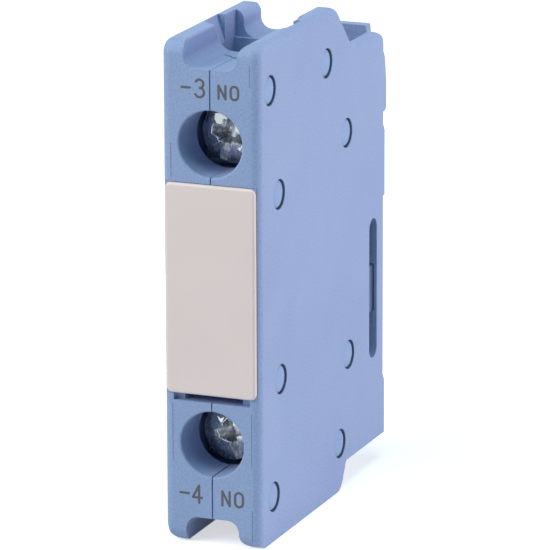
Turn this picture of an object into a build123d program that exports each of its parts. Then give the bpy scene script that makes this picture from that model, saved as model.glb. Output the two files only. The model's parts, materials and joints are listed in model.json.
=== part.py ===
from build123d import *
import os

# Auxiliary contact block, one normally open pole, for the front of a contactor.
# Two moulded half shells meet at a seam and hold a screw terminal at each end,
# a sprung carrier with a double-break contact bridge, and a snap-in label plate.
#
# While the pieces are made, X runs across the block from the seam, Y runs from
# the front face to the rear, and Z runs up from the middle of the height.
# All lengths are in millimetres.

os.makedirs("parts", exist_ok=True)

# Housing outline, seen from the side
width = 10.0
half_height = 24.8
main_top_depth = 19.55
step_run = 4.75
rear_top_z = 19.85
rear_y = 33.0
rear_bottom_z = -22.1
main_bottom_depth = 21.3
foot_step_run = 1.45
front_corner_r = 1.4
top_corner_r = 1.6
step_r = 3.2
step_blend = 1.5
rear_corner_r = 1.6
foot_corner_r = 1.9
foot_step_r = 0.5
edge_r = 0.9
side_wall = 1.3
seam_gap = 0.04
seam_groove_width = 0.13
seam_groove_depth = 0.4
bite = 0.1

# Troughs along the top and the bottom, where the wires lie
trough_side = 2.25
rear_trough_side = 2.3
trough_depth = 2.7
trough_floor_r = 1.2
left_lip_r = 0.25
right_lip_r = 1.4
rear_lip_r = 1.05
lip_change_y = 14.0

# Screw terminals
terminal_pitch = 29.6
terminal_mid_z = 0.15
well_r = 3.25
well_depth = 4.6
well_lip_r = 0.2
head_r = 2.95
head_height = 2.2
head_edge_drop = 0.75
head_shoulder_r = 1.6
head_shoulder_drop = 0.2
head_front_y = 4.5
shank_r = 1.7
shank_length = 9.0
thread_clearance = 0.05
shank_chamfer = 0.5
slot_width = 0.8
slot_depth = 1.15
cross_length = 3.9
cross_width = 1.1
cross_depth = 1.9
cross_floor_length = 1.35
cross_floor_width = 0.6
cross_turn = 16.0
clamp_travel = 2.4
lock_washer_height = 0.7
lock_washer_ring = 1.0
lock_washer_split = 0.5
clamp_plate_height = 0.9
clamp_lip_height = 0.6
clamp_lip_width = 0.7
clamp_corner_r = 0.45
clamp_half_z = 3.2
wire_space = 3.3
strip_thickness = 1.0
pad_side_clearance = 0.4
pad_half_z = 3.4
nut_half = 3.0
nut_height = 2.2
nut_chamfer = 0.5
shelf_clearance = 0.05
hole_clearance = 0.2
chamber_clearance = 0.3

# Funnels that lead the wires from the troughs to the terminals
funnel_y = 12.4
funnel_wall = 1.45
funnel_corner_flat = 0.35
funnel_straight = 0.5
funnel_rim = 0.7
funnel_flare = 0.8
funnel_mouth_corner_r = 1.6
funnel_rear_y = 14.7
funnel_ledge = 0.5

# Contact system
strip_side = 1.5
strip_run_z = 9.15
strip_leg_y = 20.0
strip_leg_end_z = 3.85
bend_inner_r = 0.5
tip_margin = 0.2
tip_height = 0.8
tip_edge_r = 0.25
tip_offset_z = 5.55
contact_gap = 3.0
contact_touch = 0.05
bridge_thickness = 0.8
bridge_side_clearance = 0.3
bridge_half_length = 7.3
bridge_rise = 0.5
bridge_bend_r = 0.4
bridge_corner_r = 0.6
bridge_saddle_half = 2.9
contact_front_y = 8.5
contact_rear_y = 21.3
contact_wall_clearance = 0.1

# Carrier that moves along the depth
carrier_stroke = 4.5
carrier_side_clearance = 0.5
carrier_half_height = 2.5
carrier_cheek = 1.1
carrier_front_bar = 1.2
carrier_front_gap = 0.3
arm_front_y = 22.2
arm_thickness = 3.0
tail_bottom_z = -8.75
tail_height = 4.75
tail_end_y = 32.4
tail_side_clearance = 0.3
tail_groove_skin = 0.3
tail_rib_front_y = 27.0
tail_rib_inset = 0.7
guide_clearance = 0.12
rib_side_clearance = 0.15
driver_neck_half = 1.0
driver_head_half = 1.9
driver_depth = 1.5
spring_cap_thickness = 0.4
spring_boss_height = 0.8
spring_cap_margin = 0.1

# Springs
contact_coil_margin = 0.5
contact_wire_r = 0.18
contact_turns = 4.0
return_coil_r = 1.95
return_wire_r = 0.2
return_turns = 4.5
spring_boss_clearance = 0.12
spring_seat_depth = 0.4

# Rear: side window, driver entry, latch pocket, latch tongue and feet
window_y = 30.2
window_width = 2.15
window_top_z = 1.1
window_bottom_z = -13.4
rear_wall = 1.2
rear_chamber_top_z = 3.0
rear_chamber_floor_gap = 0.4
rear_chamber_low_front_y = 26.5
driver_entry_half = 2.5
pocket_wall = 1.1
pocket_front_y = 19.6
pocket_floor_z = 13.8
tongue_slit = 0.3
tongue_root_z = 9.0
tab_taper = 0.15
tab_rise = 0.55
nose_inset = 0.25
nose_gap = 0.22
nose_reach = 1.5
nose_lead_reach = 1.1
nose_lead_drop = 2.4
nose_lead_r = 1.2
nose_face_height = 3.0
nose_face_r = 1.5
nose_lip_r = 0.5
ear_drop = 1.2
nose_top_z = 19.3
nose_bottom_z = 11.3
pad_rise = 0.42
pad_slope = 0.7
upper_pad_z = (2.8, 10.2)
lower_pad_z = (-22.1, -15.8)

# Joining pegs: places on the side face, then the peg and its hole
peg_places = [
    (2.8, 20.0),
    (17.5, 19.6),
    (22.9, 11.5),
    (5.05, 9.4),
    (23.5, -11.3),
    (5.4, -9.0),
    (21.1, -19.9),
    (3.5, -20.3),
]
peg_r = 1.4
peg_hole_r = 1.5
peg_tip_r = 1.22
peg_tip_length = 1.6
peg_recess = 0.12
peg_end_r = 0.5

# Label plate and its seat
label_rim = 0.39
label_top_z = 11.0
label_bottom_z = -9.75
label_thickness = 1.0
label_proud = 0.3
label_corner_r = 0.55
label_edge_r = 0.28
label_clearance = 0.06
clip_offset_z = 6.0
clip_half_width = 1.3
clip_thickness = 0.9
clip_length = 2.2
clip_barb = 0.25
clip_lead = 0.3
clip_tip_land = 0.1
clip_barb_back = 0.9
clip_barb_foot = 1.2
clip_clearance = 0.15
notch_side = 1.05
notch_height = 0.75
notch_depth = 0.6
pry_side = 2.0
pry_depth = 2.2

# Sizes worked out from the ones above
half_width = width / 2
step_foot_y = main_top_depth + step_run
foot_step_y = main_bottom_depth + foot_step_run
cavity_half = half_width - side_wall
trough_half = half_width - trough_side
rear_trough_half = half_width - rear_trough_side
trough_floor_z = half_height - trough_depth
funnel_half = half_width - funnel_wall
funnel_corner_r = funnel_half - funnel_corner_flat
funnel_front_y = funnel_y - funnel_corner_r - funnel_straight
funnel_mouth_half = half_width - funnel_rim
funnel_mouth_front_y = funnel_front_y - funnel_flare
upper_z = terminal_mid_z + terminal_pitch / 2
lower_z = terminal_mid_z - terminal_pitch / 2
head_under_y = head_front_y + head_height
lock_rear_y = head_under_y + lock_washer_height
clamp_rear_y = lock_rear_y + clamp_plate_height
pad_front_y = clamp_rear_y + wire_space
pad_rear_y = pad_front_y + strip_thickness
nut_rear_y = pad_rear_y + nut_height
shank_end_y = head_under_y + shank_length
clamp_half_x = cavity_half - chamber_clearance
pad_half_x = cavity_half - pad_side_clearance
strip_half_width = cavity_half - strip_side
carrier_half_width = cavity_half - carrier_side_clearance
window_half = carrier_half_width - carrier_cheek
bridge_half_width = window_half - bridge_side_clearance
contact_coil_r = bridge_half_width - contact_coil_margin
tip_r = bridge_half_width - tip_margin
tail_half_width = cavity_half - tail_side_clearance
tail_rib_half_width = half_width - tail_groove_skin - rib_side_clearance
pocket_half_width = half_width - pocket_wall
nose_half_width = half_width - nose_inset
label_half_width = half_width - label_rim
notch_half_width = half_width - notch_side
pry_half_width = half_width - pry_side
fixed_face_y = strip_leg_y - tip_height
moving_face_y = fixed_face_y - contact_gap
bridge_rear_y = moving_face_y - tip_height
bridge_front_y = bridge_rear_y - bridge_thickness
saddle_rear_y = bridge_rear_y - bridge_rise
saddle_front_y = bridge_front_y - bridge_rise
carrier_front_y = contact_front_y + carrier_front_gap
bar_rear_y = carrier_front_y + carrier_front_bar
arm_rear_y = arm_front_y + arm_thickness
tail_top_z = tail_bottom_z + tail_height
rear_inner_y = rear_y - rear_wall
nose_rear_y = rear_y + nose_reach
label_seat_y = label_thickness - label_proud
far = 2 * half_height


def box(x0, x1, y0, y1, z0, z1):
    """A block between two opposite corners."""
    middle = Pos((x0 + x1) / 2, (y0 + y1) / 2, (z0 + z1) / 2)
    return middle * Box(x1 - x0, y1 - y0, z1 - z0)


def across(half, y0, y1, z0, z1):
    """A block that reaches equally far to both sides of the seam."""
    return box(-half, half, y0, y1, z0, z1)


def rod_y(radius, y0, y1, z, x=0.0):
    """A round bar along the depth."""
    return Pos(x, (y0 + y1) / 2, z) * Rot(90, 0, 0) * Cylinder(radius, y1 - y0)


def rod_x(radius, x0, x1, y, z):
    """A round bar across the width."""
    return Pos((x0 + x1) / 2, y, z) * Rot(0, 90, 0) * Cylinder(radius, x1 - x0)


def rounded_face(corners):
    """A flat outline from corners given as (across, up, radius)."""
    face = make_face(Polyline(*[(u, v) for u, v, r in corners], close=True))
    for u, v, radius in corners:
        if radius:
            corner = face.vertices().sort_by_distance((u, v, 0))[0]
            face = fillet(corner, radius)
    return face


def side_extrusion(face, half):
    """An outline drawn in depth and height, thickened to both sides of the seam."""
    return extrude(Plane.YZ * face, amount=half, both=True)


def one_solid(shape):
    """The single solid of a shape, without any wrapping."""
    return shape.solids()[0]


def flipped(shape):
    """The same piece for the lower terminal."""
    return mirror(shape, about=Plane.XY.offset(terminal_mid_z))


def main_block():
    """The tall front part, rounded along its front and top edges, down to the step's foot."""
    block = side_extrusion(rounded_face([
        (0, -half_height, 0),
        (0, half_height, front_corner_r),
        (rear_y, half_height, 0),
        (rear_y, -half_height, 0),
    ]), half_width)
    rims = [
        edge
        for edge in block.faces().filter_by(Axis.X).edges()
        if edge.center().Z > -half_height + bite and edge.center().Y < rear_y - bite
    ]
    step_end_y = step_foot_y + step_blend
    profile = rounded_face([
        (0, -half_height, front_corner_r),
        (0, half_height, 0),
        (main_top_depth, half_height, top_corner_r),
        (step_foot_y, rear_top_z, step_r),
        (step_end_y, rear_top_z, 0),
        (step_end_y, rear_bottom_z, 0),
        (foot_step_y, rear_bottom_z, foot_step_r),
        (main_bottom_depth, -half_height, foot_corner_r),
    ])
    return fillet(rims, edge_r) & side_extrusion(profile, half_width)


def rear_block():
    """The lower rear part, with its top edges rounded and its rear edges left sharp."""
    block = across(half_width, step_foot_y, rear_y, rear_bottom_z, rear_top_z)
    rims = block.edges().filter_by(Axis.Y).group_by(Axis.Z)[-1]
    profile = rounded_face([
        (step_foot_y, rear_bottom_z, 0),
        (step_foot_y, rear_top_z, 0),
        (rear_y, rear_top_z, rear_corner_r),
        (rear_y, rear_bottom_z, 0),
    ])
    return fillet(rims, edge_r) & side_extrusion(profile, half_width)


def trough_part(half, left_lip, right_lip, y0, y1):
    """The cutter for one stretch of the wire trough along the top."""
    over = half_height + trough_depth
    section = rounded_face([
        (-half, over, 0),
        (-half, trough_floor_z, trough_floor_r),
        (half, trough_floor_z, trough_floor_r),
        (half, over, 0),
    ])
    for side, lip in ((-1, left_lip), (1, right_lip)):
        low = half_height - lip
        corner = Pos(side * (half + lip / 2), (low + over) / 2) * Rectangle(lip, over - low)
        section += corner - Pos(side * (half + lip), low) * Circle(lip)
    return Pos(0, y1, 0) * extrude(Plane.XZ * section, amount=y1 - y0)


def trough():
    """The cutter for the wire trough along the top, with narrower rims in front."""
    front = trough_part(trough_half, left_lip_r, right_lip_r, -1, lip_change_y)
    rear = trough_part(rear_trough_half, rear_lip_r, rear_lip_r, lip_change_y, step_foot_y)
    return front + rear


def funnel(terminal_z):
    """The cutter for a wire funnel, from the top trough down to a terminal's chamber."""
    bottom_z = terminal_z + cavity_half
    over = half_height + trough_depth
    throat = funnel_outline(funnel_half, funnel_front_y, funnel_corner_r)
    mouth = funnel_outline(funnel_mouth_half, funnel_mouth_front_y, funnel_mouth_corner_r)
    neck = extrude(Pos(0, 0, bottom_z) * throat, amount=trough_floor_z - bottom_z)
    flare = loft([Pos(0, 0, trough_floor_z) * throat, Pos(0, 0, half_height) * mouth])
    open_top = extrude(Pos(0, 0, half_height) * mouth, amount=trough_depth)
    rear = across(funnel_half, funnel_y, funnel_rear_y, bottom_z, over)
    ledge = across(funnel_half, funnel_y, funnel_rear_y + funnel_ledge, trough_floor_z, over)
    return neck + flare + open_top + rear + ledge


def funnel_outline(half, front_y, corner_r):
    """The outline of the funnel's front part, seen from above."""
    return rounded_face([
        (-half, funnel_y, 0),
        (-half, front_y, corner_r),
        (half, front_y, corner_r),
        (half, funnel_y, 0),
    ])


def terminal_chamber():
    """The cutter for the space round the upper terminal."""
    z = upper_z
    well = rod_y(well_r, -1, well_depth, z)
    room = across(cavity_half, well_depth - bite, pad_rear_y + shelf_clearance,
                  z - cavity_half, z + cavity_half)
    nut_pocket_half = nut_half + hole_clearance / 2
    nut_pocket = across(nut_pocket_half, pad_front_y, nut_rear_y + shelf_clearance,
                        z - nut_pocket_half, z + nut_pocket_half)
    run_out = shank_end_y + clamp_travel + chamber_clearance
    screw_end = rod_y(shank_r + chamber_clearance, nut_rear_y - 1, run_out, z)
    strip_way = across(strip_half_width + contact_wall_clearance,
                       pad_front_y - contact_wall_clearance, pad_rear_y + contact_wall_clearance,
                       terminal_mid_z + strip_run_z, z)
    relief = rod_x(bend_inner_r, -strip_half_width, strip_half_width, pad_rear_y + bend_inner_r / 2,
                   terminal_mid_z + strip_run_z + strip_thickness + bend_inner_r / 2)
    return well + room + nut_pocket + screw_end + strip_way + relief


def contact_chamber():
    """The cutter for the space of the bridge, the carrier and the springs."""
    half = strip_run_z + strip_thickness + contact_wall_clearance
    front = across(cavity_half, contact_front_y, contact_rear_y,
                   terminal_mid_z - half, terminal_mid_z + half)
    low_z = tail_bottom_z - rear_chamber_floor_gap
    rear = across(cavity_half, contact_rear_y - bite, rear_inner_y, low_z, rear_chamber_top_z)
    low_end_z = window_bottom_z - rear_chamber_floor_gap
    below = across(cavity_half, rear_chamber_low_front_y, rear_inner_y, low_end_z, low_z + 1)
    seat_r = return_coil_r + return_wire_r + chamber_clearance
    seat = rod_y(seat_r, rear_inner_y - 1, rear_inner_y + spring_seat_depth, terminal_mid_z)
    return front + rear + below + seat


def tail_channel():
    """The cutter for the side grooves and the rear opening that guide the tail."""
    half = tail_rib_half_width + rib_side_clearance
    groove = across(half, tail_rib_front_y - guide_clearance, rear_y + pad_rise + 1,
                    tail_bottom_z - guide_clearance, tail_top_z + guide_clearance)
    entry = across(driver_entry_half, rear_inner_y - 1, rear_y + pad_rise + 1,
                   window_bottom_z - rear_chamber_floor_gap, tail_bottom_z)
    return groove + entry


def side_window():
    """The cutter for the long window in both side faces."""
    length = window_top_z - window_bottom_z
    middle_z = (window_top_z + window_bottom_z) / 2
    slot = Pos(window_y, middle_z) * Rot(0, 0, 90) * SlotOverall(length, window_width)
    return side_extrusion(slot, half_width + 1)


def latch_pocket():
    """The cutter for the open pocket behind the step, and the slits beside the tongue."""
    pocket = across(pocket_half_width, pocket_front_y, rear_inner_y, pocket_floor_z, far)
    slits = [
        box(side - tongue_slit / 2, side + tongue_slit / 2, rear_inner_y - bite, rear_y + 1,
            tongue_root_z, far)
        for side in (-pocket_half_width, pocket_half_width)
    ]
    return pocket + slits[0] + slits[1]


def latch_nose():
    """The hook nose on the back of the tongue, with its thin ears behind the side walls."""
    ears = nose_outline(rear_y + nose_gap, nose_top_z - ear_drop)
    core = nose_outline(rear_y - bite, nose_top_z)
    inner = pocket_half_width - tongue_slit / 2
    return side_extrusion(ears, nose_half_width) + side_extrusion(core, inner)


def nose_outline(front_y, top_z):
    """The nose's outline from the side, from its own front line and top."""
    return rounded_face([
        (front_y, top_z, 0),
        (rear_y + nose_lead_reach, nose_top_z - nose_lead_drop, nose_lead_r),
        (nose_rear_y, nose_bottom_z + nose_face_height, nose_face_r),
        (nose_rear_y, nose_bottom_z, nose_lip_r),
        (front_y, nose_bottom_z, 0),
    ])


def tongue_tab():
    """The square top of the tongue, which stands above the side walls, for a blade."""
    foot_half = pocket_half_width - tongue_slit / 2
    top_half = foot_half - tab_taper
    foot_z = rear_top_z - rear_corner_r
    face = rounded_face([
        (-foot_half, foot_z, 0),
        (foot_half, foot_z, 0),
        (top_half, rear_top_z + tab_rise, bite),
        (-top_half, rear_top_z + tab_rise, bite),
    ])
    return Pos(0, rear_y, 0) * extrude(Plane.XZ * face, amount=rear_wall)


def foot_pad(z_range):
    """A low pad on the back, on which the block seats."""
    low, high = z_range
    pad = rounded_face([
        (rear_y - bite, low, 0),
        (rear_y + pad_rise, low, 0),
        (rear_y + pad_rise, high - pad_slope, 0),
        (rear_y, high, 0),
        (rear_y - bite, high, 0),
    ])
    return side_extrusion(pad, half_width)


def label_seat():
    """The cutter for the label's recess, its clip sockets and the notch below it."""
    half = label_half_width + label_clearance
    recess = across(half, -1, label_seat_y, label_bottom_z - label_clearance,
                    label_top_z + label_clearance)
    shallow_z = label_bottom_z - notch_height
    shallow = across(notch_half_width, -1, notch_depth, shallow_z, label_bottom_z)
    deep = across(pry_half_width, -1, pry_depth, shallow_z, label_bottom_z)
    cutter = recess + shallow + deep
    for z in clip_heights():
        reach = clip_thickness / 2 + clip_barb + clip_clearance
        cutter += across(clip_half_width + clip_clearance, -1,
                         label_seat_y + clip_length + clip_clearance, z - reach, z + reach)
    return cutter


def clip_heights():
    """Heights of the two clips behind the label plate."""
    middle = (label_top_z + label_bottom_z) / 2
    return (middle + clip_offset_z, middle - clip_offset_z)


def housing():
    """Both shells as one body, before it is parted at the seam."""
    body = main_block() + rear_block()
    body += foot_pad(upper_pad_z) + foot_pad(lower_pad_z)
    body -= trough()
    body -= mirror(trough(), about=Plane.XY)
    body -= funnel(upper_z)
    body -= mirror(funnel(-lower_z), about=Plane.XY)
    body -= terminal_chamber()
    body -= flipped(terminal_chamber())
    body -= contact_chamber()
    body -= tail_channel()
    body -= side_window()
    body -= latch_pocket()
    body += latch_nose() + tongue_tab()
    body -= label_seat()
    mouths = [
        edge
        for edge in body.edges().filter_by(GeomType.CIRCLE)
        if abs(edge.radius - well_r) < 0.01 and abs(edge.arc_center.Y) < 0.01
    ]
    return fillet(mouths, well_lip_r)


def half_shells():
    """The left shell with its pegs and the right shell with their holes."""
    groove = across(seam_groove_width / 2, -1, seam_groove_depth, -far, far)
    body = housing() - groove
    keep_left = box(-far, -seam_gap / 2, -far, far, -far, far)
    keep_right = box(seam_gap / 2, far, -far, far, -far, far)
    left = body & keep_left
    right = body & keep_right
    for y, z in peg_places:
        peg_end = half_width - peg_recess
        peg = rod_x(peg_r, -seam_gap, peg_end - peg_tip_length, y, z)
        peg += rod_x(peg_tip_r, 0, peg_end, y, z)
        tip = peg.edges().filter_by(GeomType.CIRCLE).sort_by(Axis.X)[-1]
        left += fillet(tip, peg_end_r)
        right -= rod_x(peg_hole_r, 0, half_width + 1, y, z)
    return one_solid(left), one_solid(right)


def label_plate():
    """The snap-in plate with its two clips."""
    low, high = label_bottom_z, label_top_z
    half = label_half_width
    outline = rounded_face([
        (-half, low, label_corner_r),
        (half, low, label_corner_r),
        (half, high, label_corner_r),
        (-half, high, label_corner_r),
    ])
    plate = extrude(Plane.XZ * outline, amount=label_thickness)
    plate = Pos(0, label_seat_y, 0) * plate
    front = plate.faces().sort_by(Axis.Y)[0]
    plate = fillet(front.edges(), label_edge_r)
    for z, side in zip(clip_heights(), (1, -1)):
        end = label_seat_y + clip_length
        half_t = clip_thickness / 2
        barb = rounded_face([
            (label_seat_y - bite, z - half_t, 0),
            (end - clip_lead, z - half_t, 0),
            (end, z - half_t + clip_lead, 0),
            (end, z + half_t - clip_tip_land, 0),
            (end - clip_barb_back, z + half_t + clip_barb, 0),
            (end - clip_barb_foot, z + half_t, 0),
            (label_seat_y - bite, z + half_t, 0),
        ])
        clip = side_extrusion(barb, clip_half_width)
        if side < 0:
            clip = mirror(clip, about=Plane.XY.offset(z))
        plate += clip
    return one_solid(plate)


def terminal_strip():
    """The upper terminal's bent strip, from the wire pad to the fixed contact."""
    run = terminal_mid_z + strip_run_z
    top = upper_z + pad_half_z
    leg_end = terminal_mid_z + strip_leg_end_z
    t = strip_thickness
    outer = bend_inner_r + t
    bent = rounded_face([
        (pad_front_y, top, 0),
        (pad_rear_y, top, 0),
        (pad_rear_y, run + t, bend_inner_r),
        (strip_leg_y + t, run + t, outer),
        (strip_leg_y + t, leg_end, 0),
        (strip_leg_y, leg_end, 0),
        (strip_leg_y, run, bend_inner_r),
        (pad_front_y, run, outer),
    ])
    strip = side_extrusion(bent, strip_half_width)
    strip += across(pad_half_x, pad_front_y, pad_rear_y, upper_z - pad_half_z, top)
    hole_r = shank_r + hole_clearance
    strip -= rod_y(hole_r, pad_front_y - 1, pad_rear_y + 1, upper_z)
    return one_solid(strip)


def contact_tip(face_y, back_y, z):
    """A round contact tip with a slightly domed face."""
    tip = rod_y(tip_r, min(face_y, back_y), max(face_y, back_y), z)
    rim = [e for e in tip.edges().filter_by(GeomType.CIRCLE) if abs(e.center().Y - face_y) < 0.01]
    return one_solid(fillet(rim, tip_edge_r))


def terminal_nut():
    """The square nut behind the upper terminal pad."""
    nut = across(nut_half, pad_rear_y, nut_rear_y, upper_z - nut_half, upper_z + nut_half)
    nut = chamfer(nut.edges().filter_by(Axis.Y), nut_chamfer)
    return one_solid(nut - rod_y(shank_r + thread_clearance, pad_rear_y - 1, nut_rear_y + 1, upper_z))


def terminal_screw():
    """The upper pan-head screw, with a slot and a cross recess."""
    crown = head_front_y
    edge = head_front_y + head_edge_drop
    half_section = make_face(
        Curve() + [
            ThreePointArc((0, crown), (head_shoulder_r, crown + head_shoulder_drop), (head_r, edge)),
            Polyline(
                (head_r, edge),
                (head_r, head_under_y),
                (shank_r, head_under_y),
                (shank_r, shank_end_y - shank_chamfer),
                (shank_r - shank_chamfer, shank_end_y),
                (0, shank_end_y),
                (0, crown),
            ),
        ]
    )
    screw = revolve(half_section, Axis.Y)
    recess = across(slot_width / 2, crown - 1, crown + slot_depth, -far, far)
    for turn in (0, 90):
        mouth = Plane.XZ.offset(-crown) * Rectangle(cross_length, cross_width)
        floor = Plane.XZ.offset(-crown - cross_depth) * Rectangle(cross_floor_length, cross_floor_width)
        recess += Rot(0, turn, 0) * loft([mouth, floor])
    screw -= Rot(0, cross_turn, 0) * recess
    return one_solid(Pos(0, 0, upper_z) * screw)


def lock_washer():
    """The split spring washer under the upper screw's head."""
    hole = shank_r + hole_clearance
    ring = rod_y(hole + lock_washer_ring, head_under_y, lock_rear_y, upper_z)
    ring -= rod_y(hole, head_under_y - 1, lock_rear_y + 1, upper_z)
    split = box(0, far, head_under_y - 1, lock_rear_y + 1,
                upper_z - lock_washer_split / 2, upper_z + lock_washer_split / 2)
    return one_solid(ring - split)


def clamp_washer():
    """The upper square clamp washer, with lips that keep the wire under it."""
    z0, z1 = upper_z - clamp_half_z, upper_z + clamp_half_z
    plate = across(clamp_half_x, lock_rear_y, clamp_rear_y, z0, z1)
    for side in (-1, 1):
        edge = side * clamp_half_x
        inner = edge - side * clamp_lip_width
        plate += box(min(edge, inner), max(edge, inner), clamp_rear_y - bite,
                     clamp_rear_y + clamp_lip_height, z0, z1)
    plate = fillet(plate.edges().filter_by(Axis.Y).group_by(Axis.X)[0], clamp_corner_r)
    plate = fillet(plate.edges().filter_by(Axis.Y).group_by(Axis.X)[-1], clamp_corner_r)
    return one_solid(plate - rod_y(shank_r + hole_clearance, lock_rear_y - 1, clamp_rear_y + 1, upper_z))


def contact_bridge():
    """The moving bridge: two arms with a raised saddle where the carrier holds it."""
    z = terminal_mid_z
    slope = bridge_rise
    half_l, half_s = bridge_half_length, bridge_saddle_half
    front, rear = bridge_front_y, bridge_rear_y
    bar = rounded_face([
        (front, z - half_l, 0),
        (rear, z - half_l, 0),
        (rear, z - half_s - slope, bridge_bend_r),
        (saddle_rear_y, z - half_s, bridge_bend_r),
        (saddle_rear_y, z + half_s, bridge_bend_r),
        (rear, z + half_s + slope, bridge_bend_r),
        (rear, z + half_l, 0),
        (front, z + half_l, 0),
        (front, z + half_s + slope, bridge_bend_r),
        (saddle_front_y, z + half_s, bridge_bend_r),
        (saddle_front_y, z - half_s, bridge_bend_r),
        (front, z - half_s - slope, bridge_bend_r),
    ])
    bridge = side_extrusion(bar, bridge_half_width)
    ends = bridge.edges().filter_by(Axis.Y).sort_by(Axis.Z)
    bridge = fillet(ends[:2] + ends[-2:], bridge_corner_r)
    return one_solid(bridge)


def spring_cap():
    """The small seat between the contact spring and the bridge."""
    z = terminal_mid_z
    half = contact_coil_r + contact_wire_r + spring_cap_margin
    cap = across(half, saddle_front_y - spring_cap_thickness, saddle_front_y, z - half, z + half)
    boss_r = contact_coil_r - contact_wire_r - spring_boss_clearance
    front = saddle_front_y - spring_cap_thickness - spring_boss_height
    cap += rod_y(boss_r, front, saddle_front_y - spring_cap_thickness, z)
    return one_solid(cap)


def contact_carrier():
    """The carrier: a window for the bridge, an offset arm and the driven tail."""
    z = terminal_mid_z
    low, high = z - carrier_half_height, z + carrier_half_height
    frame = across(carrier_half_width, carrier_front_y, arm_front_y + bite, low, high)
    frame -= across(window_half, bar_rear_y, saddle_rear_y, low - 1, high + 1)
    frame += across(carrier_half_width, arm_front_y, arm_rear_y, tail_bottom_z, high)
    frame += across(tail_half_width, arm_rear_y - bite, tail_end_y, tail_bottom_z, tail_top_z)
    frame += across(tail_rib_half_width, tail_rib_front_y, tail_end_y - tail_rib_inset,
                    tail_bottom_z, tail_top_z)
    neck_front = tail_end_y - driver_depth
    frame -= across(driver_neck_half, neck_front - bite, tail_end_y + 1, -far, tail_top_z + 1)
    frame -= across(driver_head_half, neck_front - driver_depth, neck_front, -far, tail_top_z + 1)
    boss_r = contact_coil_r - contact_wire_r - spring_boss_clearance
    frame += rod_y(boss_r, bar_rear_y - bite, bar_rear_y + spring_boss_height, z)
    return_boss_r = return_coil_r - return_wire_r - spring_boss_clearance
    frame += rod_y(return_boss_r, arm_rear_y - bite, arm_rear_y + spring_boss_height, z)
    return one_solid(frame)


def coil_spring(coil_r, wire_r, turns, y0, y1):
    """A coil spring along the depth, between two seats."""
    length = y1 - y0 - 2 * wire_r
    path = Helix(pitch=length / turns, height=length, radius=coil_r)
    section = Plane(origin=path @ 0, z_dir=path % 0) * Circle(wire_r)
    coil = sweep(section, path=path)
    return one_solid(Pos(0, y0 + wire_r, terminal_mid_z) * Rot(-90, 0, 0) * coil)


left_shell, right_shell = half_shells()

pieces = {
    "left_housing": left_shell,
    "right_housing": right_shell,
    "label_plate": label_plate(),
    "contact_carrier": contact_carrier(),
    "contact_bridge": contact_bridge(),
    "spring_cap": spring_cap(),
    "contact_spring": coil_spring(contact_coil_r, contact_wire_r, contact_turns,
                                  bar_rear_y, saddle_front_y - spring_cap_thickness),
    "return_spring": coil_spring(return_coil_r, return_wire_r, return_turns,
                                 arm_rear_y, rear_inner_y + spring_seat_depth),
}

for side in (1, -1):
    name = "upper" if side > 0 else "lower"
    tip_z = terminal_mid_z + side * tip_offset_z
    pieces[f"{name}_fixed_tip"] = contact_tip(fixed_face_y, strip_leg_y, tip_z)
    pieces[f"{name}_bridge_tip"] = contact_tip(moving_face_y, bridge_rear_y, tip_z)

terminal_set = {
    "terminal": terminal_strip(),
    "terminal_nut": terminal_nut(),
    "terminal_screw": terminal_screw(),
    "lock_washer": lock_washer(),
    "clamp_washer": clamp_washer(),
}
for name, piece in terminal_set.items():
    pieces[f"upper_{name}"] = piece
    pieces[f"lower_{name}"] = one_solid(flipped(piece))

# The part's own frame: origin in the middle of the box's floor, +Z up, front to -Y
front_y = -label_proud
to_frame = Pos(0, -(front_y + nose_rear_y) / 2, half_height)
for name, piece in pieces.items():
    export_step(to_frame * piece, f"parts/{name}.step")
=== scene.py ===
import json
import math

import bmesh
import bpy
from mathutils import Matrix, Vector


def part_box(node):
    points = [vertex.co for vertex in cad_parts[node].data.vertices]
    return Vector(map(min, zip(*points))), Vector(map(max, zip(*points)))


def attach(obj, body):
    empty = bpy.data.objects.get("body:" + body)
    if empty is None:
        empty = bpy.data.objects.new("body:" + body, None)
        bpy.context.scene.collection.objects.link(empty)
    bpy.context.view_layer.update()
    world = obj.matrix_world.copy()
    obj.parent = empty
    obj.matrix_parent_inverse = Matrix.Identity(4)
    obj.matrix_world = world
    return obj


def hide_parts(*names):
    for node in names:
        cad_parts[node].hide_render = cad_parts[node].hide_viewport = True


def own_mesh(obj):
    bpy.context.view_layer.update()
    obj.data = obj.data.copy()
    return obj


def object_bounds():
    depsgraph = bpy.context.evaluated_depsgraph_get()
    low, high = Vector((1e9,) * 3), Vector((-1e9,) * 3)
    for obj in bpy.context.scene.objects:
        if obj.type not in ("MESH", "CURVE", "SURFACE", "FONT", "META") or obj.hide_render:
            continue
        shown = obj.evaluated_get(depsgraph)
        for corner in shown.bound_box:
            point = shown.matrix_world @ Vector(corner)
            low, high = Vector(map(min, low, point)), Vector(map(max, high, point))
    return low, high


# Looks of the auxiliary contact block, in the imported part's frame: X across the narrow width,
# -Y the label and the screws, +Z up. Blender's lengths are metres. The part's named sizes are
# millimetres, and take MM where they are used.

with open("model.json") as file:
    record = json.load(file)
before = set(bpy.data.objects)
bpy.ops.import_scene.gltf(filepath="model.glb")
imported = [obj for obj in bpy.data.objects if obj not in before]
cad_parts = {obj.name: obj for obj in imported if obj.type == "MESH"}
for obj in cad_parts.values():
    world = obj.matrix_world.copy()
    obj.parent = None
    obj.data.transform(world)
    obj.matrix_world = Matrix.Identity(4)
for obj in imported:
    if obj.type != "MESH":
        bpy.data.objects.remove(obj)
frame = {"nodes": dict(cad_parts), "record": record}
cad_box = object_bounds()

MM = 0.001
nodes = frame["nodes"]

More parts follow.
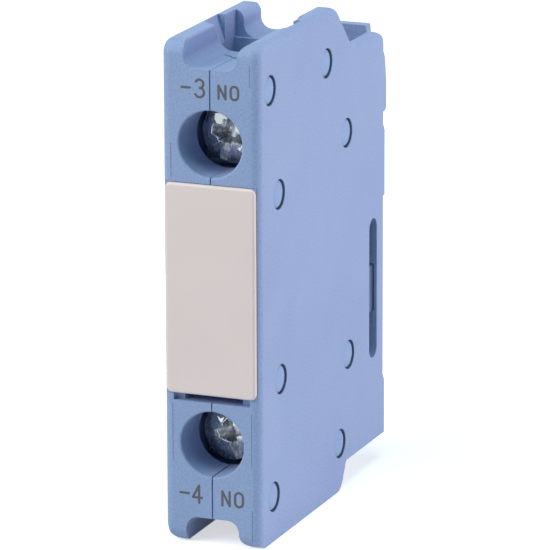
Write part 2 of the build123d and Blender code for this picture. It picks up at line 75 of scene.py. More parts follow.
# Camera: where the photograph was taken from, in degrees and metres. The sensor is in
# millimetres, and the focal length is FOCAL_SHARE times its width
CAMERA_AZIMUTH = 21.99
CAMERA_ELEVATION = 14.90
CAMERA_ROLL = -0.19
CAMERA_DISTANCE = 0.4759
CAMERA_AIM = Vector((0.00545, -0.01431, 0.02686))
SENSOR_WIDTH = 36.0
FOCAL_SHARE = 9.0909

# Studio: each lamp is (name, place, (width, height), power, colour), in metres and watts
LAMP_AIM = (0, 0, 0.025)
LAMPS = (
    ("right_box", (0.46, 0.19, 0.13), (0.34, 0.42), 2.19, (1.0, 0.90, 0.96)),
    ("left_box", (-0.32, -0.34, 0.34), (0.34, 0.34), 1.90, (1.0, 0.965, 0.94)),
    ("top_box", (0.03, -0.12, 0.54), (0.34, 0.34), 1.37, (0.76, 0.98, 1.0)),
)
SURROUND_LIGHT = (0.02, 0.116, 0.142, 1)
SURROUND_SEEN = (1, 1, 1, 1)
FLOOR_RADIUS = 3.0
FLOOR_GLOW = 0.60

# From here on, sizes are in millimetres, and places count from the seam, from the middle of
# the depth and up from the foot.

# The floor lies a hair under the foot, so that the two faces don't share a plane
FLOOR_DROP = 0.02

# How far the label stands out of the front face, and the terminal marks on that face: each
# mark is (name, glyphs, foot height, glyph height), each glyph is (letter, left edge, width)
LABEL_PROUD = 0.3
MARK_STROKE = 0.25
MARK_RISE = 0.015
MARKS = (
    ("upper_number_mark", (("-", -3.0, 1.1), ("3", -1.6, 1.15)), 44.15, 1.95),
    ("upper_contact_mark", (("N", 0.78, 0.95), ("O", 2.02, 1.0)), 44.15, 1.52),
    ("lower_number_mark", (("-", -3.45, 1.12), ("4", -2.15, 1.2)), 4.06, 1.98),
    ("lower_contact_mark", (("N", 0.92, 1.0), ("O", 2.24, 1.06)), 4.08, 1.66),
)

# A short crack on the floor of the upper trough, near the funnel: its corners seen from
# above, and the radius of each stretch between them
SCAR_CORNERS = (
    (-1.32, -10.12), (-0.95, -10.45), (-0.7, -10.42), (-0.25, -10.95), (0.1, -11.1),
    (0.5, -11.52),
)
SCAR_RADII = (0.07, 0.12, 0.09, 0.13, 0.06)
SCAR_FLATNESS = 0.12
TROUGH_FLOOR_Z = 46.9

# Joining pegs on the right side: (depth, height) of each, then the outlines of a peg's end
# and of the dark sleeve in the gap round it, as (radius, distance from the seam)
PEG_PLACES = (
    (-14.3, 44.8), (0.4, 44.4), (5.8, 36.3), (-12.05, 34.2),
    (6.4, 13.5), (-11.7, 15.8), (4.0, 4.9), (-13.6, 4.5),
)
PEG_SIDES = 48
CAP_OUTLINE = (
    (0.0, 4.89), (0.7, 4.888), (1.05, 4.875), (1.24, 4.84), (1.34, 4.76), (1.36, 4.62),
    (1.36, 4.2),
)
GAP_OUTLINE = ((1.496, 4.6), (1.496, 4.975), (1.455, 4.95), (1.455, 4.6))

# Rounding of the left foot's outer edge: how far it reaches across and up, and in how many
# cuts. Corners of the mesh that lie within MERGE_WITHIN of each other are one, and those
# within CUT_WITHIN of a cut lie on it, both in metres
FOOT_ACROSS = 1.9
FOOT_UP = 2.8
FOOT_CUTS = 14
MERGE_WITHIN = 1e-7
CUT_WITHIN = 1e-9

# Painted shade along faint mould lines on the front face: (side, from height, to height)
MOULD_LINES = (
    (-4.04, 36.3, 39.6), (-4.06, 8.2, 13.9), (4.04, 45.6, 47.6), (4.10, 8.4, 13.6),
    (4.14, 0.9, 3.9),
)
MOULD_LINE_RADIUS = 0.045
MOULD_LINE_FLATNESS = 0.15

# Blocks that close the corners of the label's recess: their reach along each side, how far
# they go into the walls, how deep they are, and their middle behind the front face
CORNER_REACH = 0.42
CORNER_BITE = 0.06
CORNER_DEPTH = 0.7
CORNER_MIDDLE = 0.37

# The seam's dark line on the bottom of each screw's well: its start behind the front face
# and its end before the screw's head
SEAM_START = 0.3
SEAM_END = 0.2
SEAM_RADIUS = 0.06
SEAM_FLATNESS = 0.9
WELL_RADIUS = 3.25

# Painted highlights on each screw's head: bright burrs, as lines of (across, up) from the screw's
# middle with a radius, whose colour paints their glints, and bright flat facets that lean a little
# up and to the right, painted reflections. The recess is turned by SCREW_TURN degrees, and the
# head falls back by HEAD_DOME times the distance squared. A facet stands FACET_PROUD in front of
# the head and is rooted FACET_ROOT inside it
SCREW_TURN = 16.0
HEAD_FRONT_Y = -12.6
HEAD_DOME = 0.078
FACET_LEAN = (0.105, 0.13)
FACET_PROUD = 0.02
FACET_ROOT = 0.1
UPPER_GLINT_BURRS = (
    (0.09, ((-1.81, 0.36), (-1.86, 0.1), (-1.78, -0.3), (-1.75, -0.6), (-1.4, -0.58),
            (-1.08, -0.69), (-0.7, -1.04))),
    (0.075, ((-1.18, -1.64), (-0.95, -1.3), (-0.7, -1.04), (-0.45, -0.95))),
    (0.06, ((-0.6, 0.62), (-0.95, 0.58), (-1.2, 0.66))),
    (0.07, ((0.7, -0.62), (0.95, -0.75), (1.3, -0.62), (1.63, -0.6), (1.98, -0.5))),
    (0.07, ((0.62, -1.1), (0.58, -1.7), (0.66, -2.3))),
)
UPPER_REFLECTION_FACETS = (
    ((-1.86, 1.51), (-1.15, 1.78), (-0.5, 1.36), (-0.97, 1.3), (-0.93, 0.75), (-1.4, 0.64),
     (-1.75, 1.0)),
    ((1.25, -1.06), (1.63, -0.66), (1.55, -1.2)),
    ((1.62, -1.1), (1.97, -0.9), (1.88, -1.52)),
    ((-0.1, 2.35), (0.3, 2.3), (0.2, 1.98)),
)
LOWER_GLINT_BURRS = (
    (0.085, ((-1.16, -0.62), (-1.34, -0.3), (-1.22, 0.0), (-1.29, 0.31), (-1.0, 0.5),
             (-0.74, 0.71), (-0.3, 0.96))),
    (0.065, ((-0.75, 1.5), (-0.5, 1.22), (-0.17, 0.98))),
    (0.06, ((-0.3, 0.96), (-0.36, 1.5), (-0.28, 2.26))),
    (0.065, ((-0.61, -1.06), (-0.3, -1.2), (0.01, -1.43), (0.28, -1.11))),
    (0.07, ((1.5, 0.62), (1.75, 0.9), (1.7, 1.4))),
)
LOWER_REFLECTION_FACETS = (
    ((-0.9, -1.85), (-0.62, -1.5), (-0.3, -1.55), (-0.58, -1.0), (-0.78, -1.3)),
    ((1.45, 0.7), (1.8, 0.62), (1.9, 1.5), (1.6, 1.3)),
    ((0.3, -1.95), (0.75, -1.8), (0.5, -1.6)),
)

# Springs: live turns, radius of the wire and dead turns at each end, then how many steps of
# the coil make a turn, and how many sides the wire has
RETURN_COIL = (3.2, 0.2, 0.9)
CONTACT_COIL = (3.0, 0.18, 0.8)
COIL_STEPS = 40
WIRE_SIDES = 12

label_low, label_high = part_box("label_plate")
front_y = label_low.y + LABEL_PROUD * MM


def new_material(name, color, roughness, metallic=0.0):
    """A principled material; returns it with its tree, shader and object coordinates."""
    material = bpy.data.materials.new(name)
    material.use_nodes = True
    tree = material.node_tree
    shader = tree.nodes["Principled BSDF"]
    shader.inputs["Base Color"].default_value = (*color, 1.0)
    shader.inputs["Roughness"].default_value = roughness
    shader.inputs["Metallic"].default_value = metallic
    place = tree.nodes.new("ShaderNodeTexCoord")
    return material, tree, shader, place


def add_noise(tree, place, scale, detail=2.0, roughness=0.5, stretch=(1, 1, 1)):
    """Noise in object space, so many cells to the metre."""
    mapping = tree.nodes.new("ShaderNodeMapping")
    mapping.inputs["Scale"].default_value = stretch
    noise = tree.nodes.new("ShaderNodeTexNoise")
    noise.inputs["Scale"].default_value = scale
    noise.inputs["Detail"].default_value = detail
    noise.inputs["Roughness"].default_value = roughness
    tree.links.new(place.outputs["Object"], mapping.inputs["Vector"])
    tree.links.new(mapping.outputs["Vector"], noise.inputs["Vector"])
    return noise


def tint(tree, shader, noise, dark, light, low=0.35, high=0.65):
    """The base colour wanders between two near colours."""
    ramp = tree.nodes.new("ShaderNodeValToRGB")
    ramp.color_ramp.elements[0].position = low
    ramp.color_ramp.elements[0].color = (*dark, 1.0)
    ramp.color_ramp.elements[1].position = high
    ramp.color_ramp.elements[1].color = (*light, 1.0)
    tree.links.new(noise.outputs["Fac"], ramp.inputs["Fac"])
    tree.links.new(ramp.outputs["Color"], shader.inputs["Base Color"])
    return ramp


def vary_roughness(tree, shader, noise, low, high):
    """The roughness follows a noise between two values."""
    span = tree.nodes.new("ShaderNodeMapRange")
    span.inputs["To Min"].default_value = low
    span.inputs["To Max"].default_value = high
    tree.links.new(noise.outputs["Fac"], span.inputs["Value"])
    tree.links.new(span.outputs["Result"], shader.inputs["Roughness"])


def speckle(tree, shader, ramp, fleck, low, high):
    """The base colour gets a fine grain of lighter and darker flecks."""
    span = tree.nodes.new("ShaderNodeMapRange")
    span.inputs["From Min"].default_value = 0.3
    span.inputs["From Max"].default_value = 0.7
    span.inputs["To Min"].default_value = low
    span.inputs["To Max"].default_value = high
    mix = tree.nodes.new("ShaderNodeMix")
    mix.data_type = "RGBA"
    mix.blend_type = "MULTIPLY"
    mix.inputs["Factor"].default_value = 1.0
    tree.links.new(fleck.outputs["Fac"], span.inputs["Value"])
    tree.links.new(ramp.outputs["Color"], mix.inputs[6])
    tree.links.new(span.outputs["Result"], mix.inputs[7])
    tree.links.new(mix.outputs[2], shader.inputs["Base Color"])


def add_bump(tree, shader, noise, distance, strength=1.0, below=None):
    """Relief from a noise, over any relief below it."""
    bump = tree.nodes.new("ShaderNodeBump")
    bump.inputs["Distance"].default_value = distance
    bump.inputs["Strength"].default_value = strength
    tree.links.new(noise.outputs["Fac"], bump.inputs["Height"])
    if below:
        tree.links.new(below.outputs["Normal"], bump.inputs["Normal"])
    tree.links.new(bump.outputs["Normal"], shader.inputs["Normal"])
    return bump


def housing_plastic():
    """Grey-blue moulded plastic with a fine eroded grain and slow unevenness."""
    color = (0.305, 0.375, 0.610)
    material, tree, shader, place = new_material("housing_plastic", color, 0.5)
    slow = add_noise(tree, place, 90.0, detail=3.0)
    ramp = tint(tree, shader, slow, (0.290, 0.362, 0.594), (0.313, 0.386, 0.618))
    grain = add_noise(tree, place, 5200.0, detail=2.0)
    speckle(tree, shader, ramp, grain, 0.90, 1.10)
    shader.inputs["Specular IOR Level"].default_value = 0.30
    vary_roughness(tree, shader, grain, 0.46, 0.60)
    swell = add_noise(tree, place, 260.0, detail=1.0)
    waves = add_bump(tree, shader, swell, 0.00002, 0.5)
    add_bump(tree, shader, grain, 0.000014, 0.7, below=waves)
    return material


def label_plastic():
    """Off-white satin plastic of the label plate."""
    color = (0.845, 0.668, 0.645)
    material, tree, shader, place = new_material("label_plastic", color, 0.42)
    slow = add_noise(tree, place, 120.0, detail=3.0)
    tint(tree, shader, slow, (0.832, 0.657, 0.634), (0.858, 0.680, 0.656))
    grain = add_noise(tree, place, 11000.0, detail=2.0)
    vary_roughness(tree, shader, grain, 0.38, 0.48)
    add_bump(tree, shader, grain, 0.000004, 0.5)
    return material


def carrier_plastic():
    """Darker blue sliding plastic of the carrier."""
    color = (0.085, 0.13, 0.25)
    material, tree, shader, place = new_material("carrier_plastic", color, 0.4)
    slow = add_noise(tree, place, 200.0, detail=3.0)
    tint(tree, shader, slow, (0.080, 0.124, 0.24), (0.09, 0.136, 0.26))
    grain = add_noise(tree, place, 10000.0, detail=2.0)
    vary_roughness(tree, shader, grain, 0.34, 0.46)
    add_bump(tree, shader, grain, 0.000004, 0.5)
    return material


def zinc_steel():
    """Bright zinc plating with fine scuffs."""
    color = (0.60, 0.63, 0.69)
    material, tree, shader, place = new_material("zinc_steel", color, 0.3, 0.9)
    cloud = add_noise(tree, place, 1500.0, detail=5.0, roughness=0.6)
    tint(tree, shader, cloud, (0.44, 0.45, 0.48), (0.86, 0.87, 0.88), low=0.34, high=0.66)
    scuff = add_noise(tree, place, 4200.0, detail=4.0, stretch=(1, 1, 0.3))
    vary_roughness(tree, shader, scuff, 0.14, 0.44)
    dents = add_noise(tree, place, 900.0, detail=2.0)
    waves = add_bump(tree, shader, dents, 0.00012, 0.7)
    add_bump(tree, shader, scuff, 0.00003, 0.8, below=waves)
    return material


def painted_burr_glint():
    """Near-white metal of the burrs at the rims of the screw recesses and of the bright facets on
    the heads: its colour paints their glints and reflections.
    """
    material, tree, shader, place = new_material("painted_burr_glint", (0.95, 0.95, 0.96), 0.28, 0.6)
    cloud = add_noise(tree, place, 6000.0, detail=2.0)
    tint(tree, shader, cloud, (0.90, 0.90, 0.91), (0.98, 0.98, 0.98))
    vary_roughness(tree, shader, cloud, 0.14, 0.32)
    add_bump(tree, shader, cloud, 0.00001, 0.6)
    return material


def brass_strip():
    """Stamped brass, slightly dull."""
    color = (0.72, 0.55, 0.27)
    material, tree, shader, place = new_material("brass", color, 0.32, 1.0)
    cloud = add_noise(tree, place, 700.0, detail=4.0)
    tint(tree, shader, cloud, (0.62, 0.46, 0.21), (0.78, 0.61, 0.32))
    drawn = add_noise(tree, place, 5000.0, detail=2.0, stretch=(1, 0.1, 0.1))
    vary_roughness(tree, shader, drawn, 0.24, 0.42)
    add_bump(tree, shader, drawn, 0.000006, 0.5)
    return material


def contact_silver():
    """Contact silver with a soft bloom."""
    color = (0.80, 0.79, 0.76)
    material, tree, shader, place = new_material("contact_silver", color, 0.35, 1.0)
    cloud = add_noise(tree, place, 2500.0, detail=3.0)
    tint(tree, shader, cloud, (0.72, 0.70, 0.66), (0.86, 0.85, 0.83))
    vary_roughness(tree, shader, cloud, 0.3, 0.45)
    add_bump(tree, shader, cloud, 0.000005, 0.5)
    return material


def spring_wire():
    """Drawn spring steel."""
    color = (0.48, 0.48, 0.50)
    material, tree, shader, place = new_material("spring_wire", color, 0.3, 1.0)
    drawn = add_noise(tree, place, 7000.0, detail=3.0)
    tint(tree, shader, drawn, (0.40, 0.40, 0.42), (0.55, 0.55, 0.57))
    vary_roughness(tree, shader, drawn, 0.22, 0.38)
    add_bump(tree, shader, drawn, 0.000004, 0.5)
    return material


def print_ink():
    """Grey-brown ink of the terminal marks."""
    color = (0.092, 0.080, 0.092)
    material, tree, shader, place = new_material("print_ink", color, 0.6)
    worn = add_noise(tree, place, 8000.0, detail=3.0)
    tint(tree, shader, worn, (0.078, 0.067, 0.078), (0.120, 0.105, 0.120))
    vary_roughness(tree, shader, worn, 0.5, 0.7)
    return material


def crack_and_shade_plastic():
    """Dark plastic: the inside of a short crack in the moulded plastic, and painted shadow in the
    gaps round the pegs and on the seam in the screws' wells.
    """
    color = (0.05, 0.075, 0.13)
    material, tree, shader, place = new_material("crack_and_painted_shade", color, 0.8)
    rough = add_noise(tree, place, 9000.0, detail=2.0)
    tint(tree, shader, rough, (0.035, 0.055, 0.10), (0.09, 0.13, 0.21))
    return material


def peg_plastic():
    """The pegs' plastic: the other half of the housing, a little bluer."""
    material, tree, shader, place = new_material("peg_plastic", (0.275, 0.384, 0.625), 0.5)
    grain = add_noise(tree, place, 5200.0, detail=2.0)
    tint(tree, shader, grain, (0.260, 0.366, 0.600), (0.292, 0.402, 0.652))
    shader.inputs["Specular IOR Level"].default_value = 0.30
    vary_roughness(tree, shader, grain, 0.40, 0.54)
    add_bump(tree, shader, grain, 0.000010, 0.6)
    return material


def faint_plastic():
    """The housing's plastic a little darker, where a mould line catches shade."""
    material, tree, shader, place = new_material("mould_line_shade", (0.15, 0.21, 0.36), 0.6)
    grain = add_noise(tree, place, 5200.0, detail=2.0)
    tint(tree, shader, grain, (0.13, 0.19, 0.33), (0.19, 0.26, 0.43))
    return material


MATERIALS = {
    "housing": housing_plastic(),
    "label": label_plastic(),
    "carrier": carrier_plastic(),
    "zinc_steel": zinc_steel(),
    "brass": brass_strip(),
    "silver": contact_silver(),
    "spring_steel": spring_wire(),
}
INK = print_ink()
DARK_CRACK_AND_SHADE = crack_and_shade_plastic()
BURR_GLINT_PAINT = painted_burr_glint()
MOULD_SHADE = faint_plastic()
PEG_BLUE = peg_plastic()


def dress_nodes():
    """Each CAD node gets the material of its slot in the record."""
    for part in frame["record"]["subparts"]:
        node = nodes[part["node"]]
        material = MATERIALS[part["material_slot"]]
        node.data.materials.clear()
        node.data.materials.append(material)


def finished_mesh(name, shape, smooth=True):
    """A finished shape as a mesh, shaded smooth or flat."""
    mesh = bpy.data.meshes.new(name)
    shape.to_mesh(mesh)
    shape.free()
    for polygon in mesh.polygons:
        polygon.use_smooth = smooth
    return mesh


def place_object(name, data):
    """A new object in the scene, with the given mesh, lamp or camera."""
    thing = bpy.data.objects.new(name, data)
    bpy.context.scene.collection.objects.link(thing)
    return thing


def round_foot(shape, fresh, centre_x, centre_z, across, up):
    """Cuts the foot's edge to an ellipse, plane by plane, and closes each cut with fresh faces."""
    for i in range(1, FOOT_CUTS + 1):
        turn = math.radians(90.0 * i / (FOOT_CUTS + 1))
        on = Vector((centre_x - across * math.cos(turn), 0, centre_z - up * math.sin(turn)))
        out = Vector((-math.cos(turn) / across, 0, -math.sin(turn) / up)).normalized()
        everything = shape.verts[:] + shape.edges[:] + shape.faces[:]
        cut = bmesh.ops.bisect_plane(
            shape, geom=everything, dist=CUT_WITHIN, plane_co=on, plane_no=out, clear_outer=True)
        edges = [item for item in cut["geom_cut"] if isinstance(item, bmesh.types.BMEdge)]
        rim = [edge for edge in edges if edge.is_boundary]
        filled = bmesh.ops.holes_fill(shape, edges=rim, sides=0)
        for face in filled["faces"]:
            face[fresh] = 1


def rounded_shell():
    """The left shell with its foot's outer edge rounded, which the CAD shell leaves sharp."""
    source = nodes["left_housing"].data
    shape = bmesh.new()
    shape.from_mesh(source)
    kept = shape.loops.layers.float_vector.new("kept_normal")
    fresh = shape.faces.layers.int.new("fresh")
    loops = [loop for face in shape.faces for loop in face.loops]
    for loop, normal in zip(loops, source.corner_normals):
        loop[kept] = normal.vector
    bmesh.ops.remove_doubles(shape, verts=shape.verts, dist=MERGE_WITHIN)
    across, up = FOOT_ACROSS * MM, FOOT_UP * MM
    centre_x, centre_z = cad_box[0][0] + across, cad_box[0][2] + up
    round_foot(shape, fresh, centre_x, centre_z, across, up)
    corner_normals = []
    for face in shape.faces:
        for loop in face.loops:
            if face[fresh]:
                aside, above = loop.vert.co.x - centre_x, loop.vert.co.z - centre_z
                normal = Vector((aside / across ** 2, 0, above / up ** 2))
            else:
                normal = Vector(loop[kept])
            corner_normals.append(normal.normalized())
    mesh = finished_mesh("left_shell", shape)
    mesh.attributes.remove(mesh.attributes["kept_normal"])
    mesh.attributes.remove(mesh.attributes["fresh"])
    mesh.normals_split_custom_set(corner_normals)
    mesh.materials.clear()
    mesh.materials.append(MATERIALS["housing"])
    shell = place_object("left_shell", mesh)
    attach(shell, "housing")
    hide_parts("left_housing")
    return shell


def join_rings(shape, first, second):
    """A band of faces between two rings of corners."""
    for k in range(len(first)):
        n = (k + 1) % len(first)
        shape.faces.new((first[k], second[k], second[n], first[n]))


def tube_along(points, radius):
    """A mesh tube that follows a list of points."""
    shape = bmesh.new()
    rings = []
    for i, point in enumerate(points):
        before = points[max(i - 1, 0)]
        after = points[min(i + 1, len(points) - 1)]
        along = (after - before).normalized()
        side = along.cross(Vector((0, 1, 0))).normalized()
        up = side.cross(along)
        ring = []
        for k in range(WIRE_SIDES):
            turn = 2 * math.pi * k / WIRE_SIDES
            away = math.cos(turn) * side + math.sin(turn) * up
            ring.append(shape.verts.new(point + radius * away))
        rings.append(ring)
    for first, second in zip(rings, rings[1:]):
        join_rings(shape, first, second)
    shape.faces.new(rings[0])
    shape.faces.new(list(reversed(rings[-1])))
    bmesh.ops.recalc_face_normals(shape, faces=shape.faces)
    return finished_mesh("tube", shape)


def arc(centre_x, centre_z, radius_x, radius_z, start, end):
    """Points of an upright arc, with its angles in degrees."""
    steps = 24
    points = []
    for i in range(steps + 1):
        turn = math.radians(start + (end - start) * i / steps)
        points.append((centre_x + radius_x * math.cos(turn), centre_z + radius_z * math.sin(turn)))
    return points


def glyph_strokes(letter, w, h):
    """The centre lines of a plain glyph, in shares of the given width and height."""
    if letter == "-":
        return [[(0, h / 2), (w, h / 2)]]
    if letter == "3":
        return [arc(w * 0.47, h * 0.755, w * 0.45, h * 0.245, 150, -80),
                arc(w * 0.48, h * 0.265, w * 0.52, h * 0.265, 85, -155)]
    if letter == "4":
        return [[(w * 0.68, 0), (w * 0.68, h), (0, h * 0.3), (w, h * 0.3)]]
    if letter == "N":
        return [[(0, 0), (0, h), (w, 0), (w, h)]]
    half = w / 2
    return [arc(half, h - half, half, half, 180, 0) + arc(half, half, half, half, 0, -180)
            + [(0, h - half)]]


def stroke_mesh(shape, points, radius):
    """Adds round-ended bars along a line of points to a shape."""
    for point in points:
        spot = Matrix.Translation(point)
        bmesh.ops.create_icosphere(shape, subdivisions=2, radius=radius, matrix=spot)
    for first, second in zip(points, points[1:]):
        along = second - first
        turn = along.to_track_quat("Z", "Y").to_matrix().to_4x4()
        spot = Matrix.Translation((first + second) / 2) @ turn
        bmesh.ops.create_cone(shape, segments=16, radius1=radius, radius2=radius,
                              depth=along.length, matrix=spot)


def flatten_at(shape, x, y, z, flatness, verts):
    """Squashes corners by three factors about the origin, then moves them to a place."""
    matrix = Matrix.Translation((x, y, z)) @ Matrix.Diagonal((*flatness, 1))
    bmesh.ops.transform(shape, matrix=matrix, verts=verts)


def add_piece(name, shape, material, body="housing", smooth=True):
    """A finished shape as a piece that stays with a body."""
    mesh = finished_mesh(name, shape, smooth)
    mesh.materials.append(material)
    piece = place_object(name, mesh)
    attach(piece, body)
    return piece


def printed_mark(name, glyphs, foot, height):
    """Printed characters, as a thin layer of ink on the front face."""
    shape = bmesh.new()
    radius = MARK_STROKE / 2 * MM
    for letter, left, width in glyphs:
        start_x, start_z = left * MM + radius, foot * MM + radius
        for line in glyph_strokes(letter, width - MARK_STROKE, height - MARK_STROKE):
            points = [Vector((start_x + u * MM, 0, start_z + v * MM)) for u, v in line]
            stroke_mesh(shape, points, radius)
    flatten_at(shape, 0, front_y, 0, (1, MARK_RISE * MM / radius, 1), shape.verts)
    return add_piece(name, shape, INK)


def trough_scar():
    """The short ragged crack on the floor of the upper trough."""
    shape = bmesh.new()
    for (x0, y0), (x1, y1), radius in zip(SCAR_CORNERS, SCAR_CORNERS[1:], SCAR_RADII):
        points = [Vector((x0 * MM, y0 * MM, 0)), Vector((x1 * MM, y1 * MM, 0))]
        stroke_mesh(shape, points, radius * MM)
    flatten_at(shape, 0, 0, TROUGH_FLOOR_Z * MM, (1, 1, SCAR_FLATNESS), shape.verts)
    return add_piece("trough_scar", shape, DARK_CRACK_AND_SHADE)


def mould_line_shades():
    """Painted shade along faint upright mould lines beside the rounded edges of the front face."""
    shape = bmesh.new()
    for x, low, high in MOULD_LINES:
        points = [Vector((x * MM, 0, low * MM)), Vector((x * MM, 0, high * MM))]
        stroke_mesh(shape, points, MOULD_LINE_RADIUS * MM)
    flatten_at(shape, 0, front_y, 0, (1, MOULD_LINE_FLATNESS, 1), shape.verts)
    return add_piece("mould_line_shades", shape, MOULD_SHADE)


def seam_shadows():
    """The dark line of the housing's seam along the bottom of each screw's well."""
    shape = bmesh.new()
    start_y, end_y = front_y + SEAM_START * MM, HEAD_FRONT_Y * MM - SEAM_END * MM
    for node in ("upper_terminal_screw", "lower_terminal_screw"):
        low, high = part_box(node)
        foot = (low.z + high.z) / 2 - WELL_RADIUS * MM
        before = set(shape.verts)
        stroke_mesh(shape, [Vector((0, start_y, 0)), Vector((0, end_y, 0))], SEAM_RADIUS * MM)
        new = [vert for vert in shape.verts if vert not in before]
        flatten_at(shape, 0, 0, foot, (1, 1, SEAM_FLATNESS), new)
    return add_piece("seam_shadows", shape, DARK_CRACK_AND_SHADE)


def peg_rings(shape, y, z, outline):
    """Rings of corners round a peg's axis, one for each (radius, distance) of an outline."""
    rings = []
    for radius, x in outline:
        ring = []
        for k in range(PEG_SIDES):
            turn = 2 * math.pi * k / PEG_SIDES
            across, up = y + radius * math.cos(turn), z + radius * math.sin(turn)
            ring.append(shape.verts.new((x * MM, across * MM, up * MM)))
        rings.append(ring)
    return rings


def peg_caps():
    """The slightly domed ends of the joining pegs."""
    shape = bmesh.new()
    for y, z in PEG_PLACES:
        rings = peg_rings(shape, y, z, CAP_OUTLINE[1:])
        middle = shape.verts.new((CAP_OUTLINE[0][1] * MM, y * MM, z * MM))
        for k in range(PEG_SIDES):
            shape.faces.new((middle, rings[0][k], rings[0][(k + 1) % PEG_SIDES]))
        for first, second in zip(rings, rings[1:]):
            join_rings(shape, first, second)
        shape.faces.new(list(reversed(rings[-1])))
    bmesh.ops.recalc_face_normals(shape, faces=shape.faces)
    return add_piece("peg_caps", shape, PEG_BLUE)


def peg_gaps():
    """The shadow in the narrow gap round each peg: a thin dark sleeve against the hole's wall."""
    shape = bmesh.new()
    for y, z in PEG_PLACES:
        rings = peg_rings(shape, y, z, GAP_OUTLINE)
        for first, second in zip(rings, rings[1:] + rings[:1]):
            join_rings(shape, first, second)
    bmesh.ops.recalc_face_normals(shape, faces=shape.faces)
    return add_piece("peg_gaps", shape, DARK_CRACK_AND_SHADE)


def label_corners():
    """Housing plastic in the four corners of the label's recess, where its gap closes."""
    shape = bmesh.new()
    reach = CORNER_REACH * MM
    side = reach + CORNER_BITE * MM
    for x in (label_low.x, label_high.x - reach):
        for z in (label_low.z, label_high.z - reach):
            middle = Vector((x + reach / 2, front_y + CORNER_MIDDLE * MM, z + reach / 2))
            size = Matrix.Diagonal((side, CORNER_DEPTH * MM, side, 1))
            bmesh.ops.create_cube(shape, size=1.0, matrix=Matrix.Translation(middle) @ size)
    return add_piece("label_corners", shape, MATERIALS["housing"], smooth=False)


def screw_glint_burrs(name, node, body, up, glint_burrs, reflection_facets):
    """Painted highlights round a screw's recess, on its domed head: bright burrs along its torn
    edges for their glints, and bright facets for painted reflections. With up at -1 they are
    mirrored top to bottom."""
    low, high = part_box(node)
    centre_z = (low.z + high.z) / 2
    shape = bmesh.new()
    turn = math.radians(SCREW_TURN)
    lean_x, lean_z = FACET_LEAN

    def turned(u, v):
        x = u * math.cos(turn) + v * math.sin(turn)
        return x, up * (v * math.cos(turn) - u * math.sin(turn))

    def dome(x, z):
        return HEAD_DOME * (x * x + z * z)

    def lean(x, z):
        return lean_x * x + lean_z * z

    def at(x, z, depth):
        return Vector((x * MM, (HEAD_FRONT_Y + depth) * MM, z * MM + centre_z))

    for radius, line in glint_burrs:
        spots = [turned(u, v) for u, v in line]
        stroke_mesh(shape, [at(x, z, dome(x, z)) for x, z in spots], radius * MM)
    for outline in reflection_facets:
        corners = [turned(u, v) for u, v in outline]
        lift = min(dome(x, z) - lean(x, z) for x, z in corners) - FACET_PROUD
        front = [shape.verts.new(at(x, z, lift + lean(x, z))) for x, z in corners]
        back = [shape.verts.new(at(x, z, dome(x, z) + FACET_ROOT)) for x, z in corners]
        faces = [shape.faces.new(front), shape.faces.new(list(reversed(back)))]
        join_rings(shape, front, back)
        bmesh.ops.triangulate(shape, faces=faces)
    bmesh.ops.recalc_face_normals(shape, faces=shape.faces)
    return add_piece(name, shape, BURR_GLINT_PAINT, body, smooth=False)


def coil_spring(name, node, coil):
    """A compression spring with closed ends, in the space of the plain CAD spring."""
    turns, wire, dead_turns = coil
    wire_radius = wire * MM
    low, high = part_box(node)
    centre_x, centre_z = (low.x + high.x) / 2, (low.z + high.z) / 2
    coil_radius = (high.z - low.z) / 2 - wire_radius
    start, end = low.y + wire_radius, high.y - wire_radius
    dead_rise = 2 * wire_radius * dead_turns
    live_rise = end - start - 2 * dead_rise
    total = turns + 2 * dead_turns
    steps = int(total * COIL_STEPS)
    points = []
    for i in range(steps + 1):
        turned = total * i / steps
        if turned < dead_turns:
            y = start + dead_rise * turned / dead_turns
        elif turned > total - dead_turns:
            y = end - dead_rise * (total - turned) / dead_turns
        else:
            y = start + dead_rise + live_rise * (turned - dead_turns) / turns
        angle = 2 * math.pi * turned
        points.append(Vector((centre_x + coil_radius * math.cos(angle), y,
                              centre_z + coil_radius * math.sin(angle))))
    spring = place_object(name, tube_along(points, wire_radius))
    spring.data.materials.append(MATERIALS["spring_steel"])
    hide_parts(node)
    return spring


def add_springs():
    """Both springs: the return spring stays with the housing, and the contact spring with the
    carrier.
    """
    back = coil_spring("return_coil", "return_spring", RETURN_COIL)
    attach(back, "housing")
    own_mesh(back)
    front = coil_spring("contact_coil", "contact_spring", CONTACT_COIL)
    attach(front, "carrier")
    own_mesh(front)


def add_marks():
    """Plain terminal marks: which terminal it is, and that the contact is normally open."""
    for mark in MARKS:
        printed_mark(*mark)


def area_lamp(name, place, size, power, color):
    """A soft box that points at the part."""
    data = bpy.data.lights.new(name, "AREA")
    data.shape = "RECTANGLE"
    data.size, data.size_y = size
    data.energy = power
    data.color = color
    lamp = place_object(name, data)
    lamp.location = place
    lamp.rotation_mode = "QUATERNION"
    lamp.rotation_quaternion = (Vector(LAMP_AIM) - Vector(place)).to_track_quat("-Z", "Y")
    return lamp


def light_scene():
    """Plain studio light: soft boxes behind on the right, in front on the left, and above."""
    for lamp in LAMPS:
        area_lamp(*lamp)


def seen_by(tree, *kinds):
    """One for the given kinds of ray, and zero for any other."""
    rays = tree.nodes.new("ShaderNodeLightPath")
    seen = rays.outputs[kinds[0]]
    for kind in kinds[1:]:
        either = tree.nodes.new("ShaderNodeMath")
        either.operation = "MAXIMUM"
        tree.links.new(seen, either.inputs[0])
        tree.links.new(rays.outputs[kind], either.inputs[1])
        seen = either.outputs["Value"]
    return seen


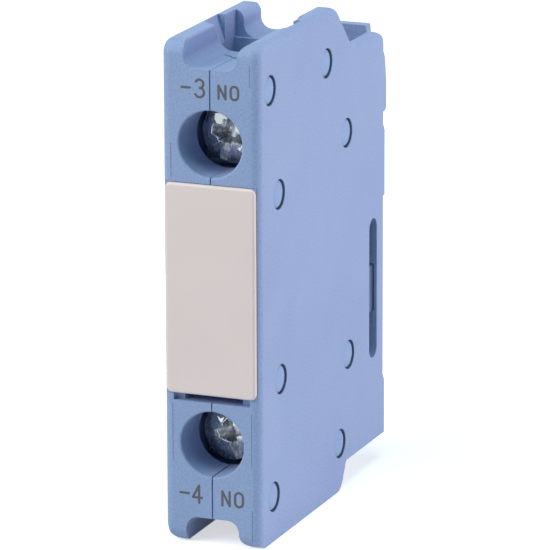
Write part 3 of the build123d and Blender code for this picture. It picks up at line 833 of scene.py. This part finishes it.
def studio_world():
    """A white surround for the camera and reflections; a dimmer, bluer one as light."""
    world = bpy.data.worlds.new("studio")
    world.use_nodes = True
    bpy.context.scene.world = world
    tree = world.node_tree
    background = tree.nodes["Background"]
    background.inputs["Strength"].default_value = 1.0
    shade = tree.nodes.new("ShaderNodeMix")
    shade.data_type = "RGBA"
    shade.inputs[6].default_value = SURROUND_LIGHT
    shade.inputs[7].default_value = SURROUND_SEEN
    seen = seen_by(tree, "Is Camera Ray", "Is Glossy Ray", "Is Transmission Ray")
    tree.links.new(seen, shade.inputs["Factor"])
    tree.links.new(shade.outputs[2], background.inputs["Color"])


def studio_floor():
    """A plain white floor that keeps a faint shadow, because it glows for the camera."""
    shape = bmesh.new()
    bmesh.ops.create_circle(shape, cap_ends=True, segments=96, radius=FLOOR_RADIUS)
    floor = place_object("floor", finished_mesh("floor", shape, smooth=False))
    floor.location.z = -FLOOR_DROP * MM
    material, tree, shader, _ = new_material("floor_paper", (0.80, 0.80, 0.80), 0.9)
    shader.inputs["Specular IOR Level"].default_value = 0.0
    glow = tree.nodes.new("ShaderNodeEmission")
    level = tree.nodes.new("ShaderNodeMath")
    level.operation = "MULTIPLY"
    level.inputs[1].default_value = FLOOR_GLOW
    both = tree.nodes.new("ShaderNodeAddShader")
    tree.links.new(seen_by(tree, "Is Camera Ray", "Is Glossy Ray"), level.inputs[0])
    tree.links.new(level.outputs["Value"], glow.inputs["Strength"])
    tree.links.new(shader.outputs["BSDF"], both.inputs[0])
    tree.links.new(glow.outputs["Emission"], both.inputs[1])
    tree.links.new(both.outputs["Shader"], tree.nodes["Material Output"].inputs["Surface"])
    floor.data.materials.append(material)


def add_camera():
    """A long lens at the photograph's viewpoint."""
    a, e = math.radians(CAMERA_AZIMUTH), math.radians(CAMERA_ELEVATION)
    back = Vector((math.sin(a) * math.cos(e), -math.cos(a) * math.cos(e), math.sin(e)))
    right = Vector((math.cos(a), math.sin(a), 0))
    turn = Matrix.Rotation(math.radians(CAMERA_ROLL), 3, back)
    right = turn @ right
    up = back.cross(right)
    data = bpy.data.cameras.new("camera")
    data.sensor_width = SENSOR_WIDTH
    data.lens = SENSOR_WIDTH * FOCAL_SHARE
    data.clip_start, data.clip_end = 0.02, 20.0
    camera = place_object("camera", data)
    camera.rotation_mode = "QUATERNION"
    camera.rotation_quaternion = Matrix((right, up, back)).transposed().to_quaternion()
    camera.location = CAMERA_AIM + back * CAMERA_DISTANCE
    bpy.context.scene.camera = camera


add_camera()
studio_world()
studio_floor()
light_scene()
dress_nodes()
rounded_shell()
add_springs()
add_marks()
trough_scar()
mould_line_shades()
seam_shadows()
peg_caps()
peg_gaps()
label_corners()
screw_glint_burrs("upper_screw_glint_burrs", "upper_terminal_screw", "upper_screw", 1,
            UPPER_GLINT_BURRS, UPPER_REFLECTION_FACETS)
screw_glint_burrs("lower_screw_glint_burrs", "lower_terminal_screw", "lower_screw", -1,
            LOWER_GLINT_BURRS, LOWER_REFLECTION_FACETS)

bpy.context.scene.view_settings.view_transform = "Standard"
